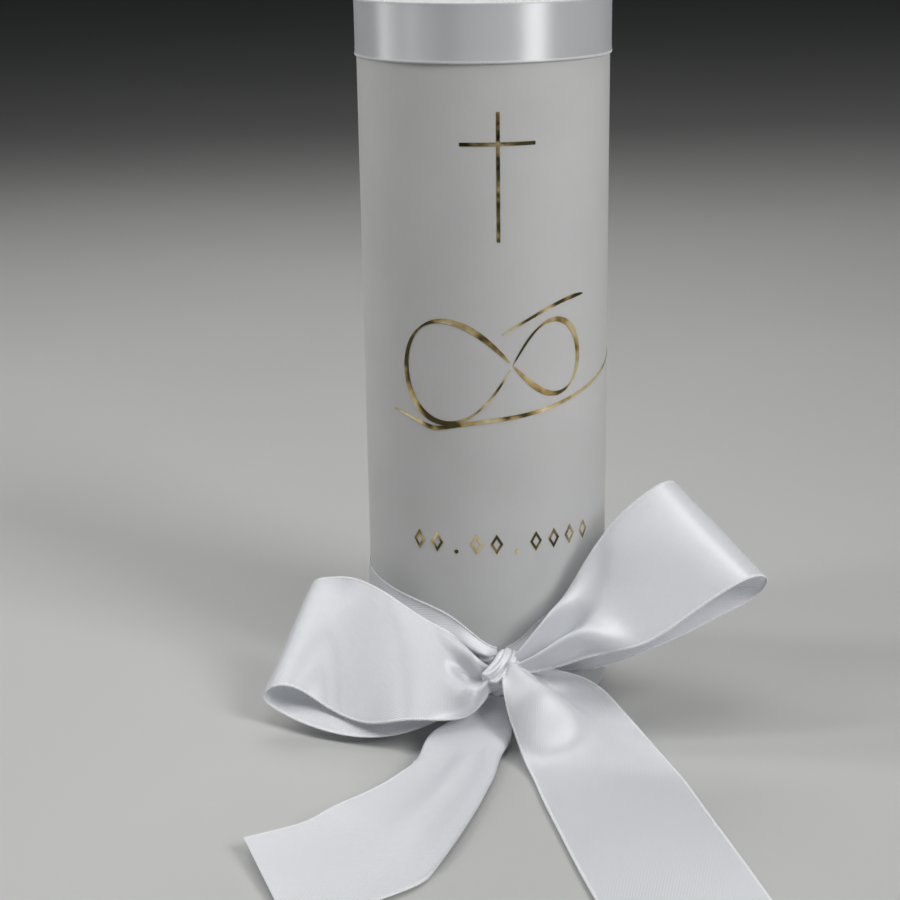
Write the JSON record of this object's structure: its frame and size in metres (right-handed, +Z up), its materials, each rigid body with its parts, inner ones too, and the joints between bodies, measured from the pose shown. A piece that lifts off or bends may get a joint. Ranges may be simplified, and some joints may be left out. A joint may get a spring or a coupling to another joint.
{
  "type": "decorated pillar candle",
  "caption": "Tall white pillar candle with a satin band at its rim, a gold foil cross and flourish, and a wide satin ribbon tied in a bow at its foot.",
  "frame": {"origin": "centre of the candle's flat base, on the surface that it stands on", "axes": "+Z up along the candle; the decoration and the bow face -Y; +X to the right of someone who looks at the decoration"},
  "size_m": [0.1458, 0.1958, 0.212],
  "materials": {
    "wax": "over-dipped paraffin wax, white, smooth and satin-soft, slightly translucent",
    "core_wax": "pressed paraffin wax, matte",
    "wick_cotton": "braided cotton, waxed, unburnt",
    "sustainer_metal": "thin tinned sheet",
    "satin_ribbon": "white polyester satin with woven edges, bright on its face",
    "tape": "double-sided tissue tape",
    "gold_foil": "mirror-bright gold transfer foil"
  },
  "bodies": {
    "root": {"wax_core": "core_wax", "wax_outer_layer": "wax", "wick": "wick_cotton", "wick_sustainer": "sustainer_metal", "top_band": "satin_ribbon", "top_band_tape": "tape", "foil_cross": "gold_foil", "foil_flourish": "gold_foil", "foil_mark_1": "gold_foil", "foil_mark_2": "gold_foil", "foil_mark_3": "gold_foil", "foil_mark_4": "gold_foil", "foil_mark_5": "gold_foil", "foil_mark_6": "gold_foil", "foil_mark_7": "gold_foil", "foil_mark_8": "gold_foil", "foil_mark_9": "gold_foil", "foil_mark_10": "gold_foil", "ribbon_belt": "satin_ribbon", "half_knot": "satin_ribbon", "bow_knot": "satin_ribbon", "bow_loop_left": "satin_ribbon", "bow_loop_right": "satin_ribbon", "bow_tail_left": "satin_ribbon", "bow_tail_right": "satin_ribbon"}
  },
  "joints": []
}
